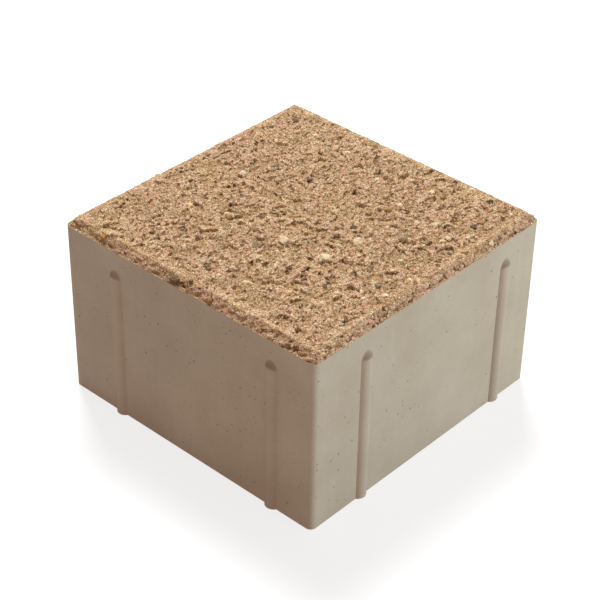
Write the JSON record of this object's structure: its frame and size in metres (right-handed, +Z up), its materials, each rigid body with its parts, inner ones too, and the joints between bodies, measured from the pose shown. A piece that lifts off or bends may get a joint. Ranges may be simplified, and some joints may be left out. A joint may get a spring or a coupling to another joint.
{
  "type": "concrete paver",
  "caption": "Square cast concrete paver with a rough washed facing, a bevelled top edge and rounded spacer ribs up its walls, laid side by side to make a hard surface outdoors.",
  "frame": {"origin": "middle of the bed face, on the floor", "axes": "+Z up through the facing; X and Y square to the walls"},
  "size_m": [0.1, 0.1, 0.06],
  "materials": {
    "concrete": "rough"
  },
  "bodies": {
    "root": {"paver": "concrete"}
  },
  "joints": []
}
